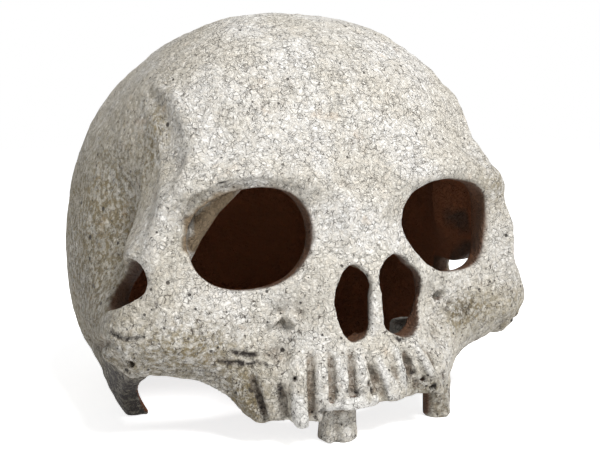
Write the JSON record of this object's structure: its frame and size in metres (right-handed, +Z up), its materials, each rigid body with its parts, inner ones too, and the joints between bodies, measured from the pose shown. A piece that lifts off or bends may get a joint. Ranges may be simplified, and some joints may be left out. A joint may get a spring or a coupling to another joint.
{
  "type": "bubbling aquarium ornament",
  "caption": "Hollow skull-shaped tank ornament of cast resin, open under the rim, with an air port, rigid air pipe and a lift-off air stone behind the nose.",
  "frame": {"origin": "on the ground under the middle of the skull: X = 0 is the plane between its two halves, Z = 0 is the rim it stands on", "axes": "-Y towards the face, +X towards the skull's left side, +Z up to the crown"},
  "size_m": [0.1376, 0.1464, 0.1214],
  "materials": {
    "cast_resin": "matt cast resin with a fine crackle and a brown wash, dark brown inside",
    "fitting_plastic": "moulded black plastic",
    "soft_rubber": "soft black rubber",
    "clear_pipe": "smoke grey extruded tube",
    "silicone": "soft grey silicone",
    "nipple_plastic": "moulded off-white plastic",
    "porous_stone": "grey sintered grit"
  },
  "bodies": {
    "skull": {"skull_shell": "cast_resin", "inlet_fitting": "fitting_plastic", "inlet_gasket": "soft_rubber", "inlet_nut": "fitting_plastic", "air_pipe": "clear_pipe", "elbow_sleeve": "silicone", "sleeve_clip": "fitting_plastic"},
    "stone": {"stone_nipple": "nipple_plastic", "air_stone": "porous_stone"}
  },
  "joints": [
    {"name": "stone_lift", "type": "slide", "parent": "skull", "child": "stone", "axis": [0, 0, 1], "range_m": [0, 0.01]}
  ]
}
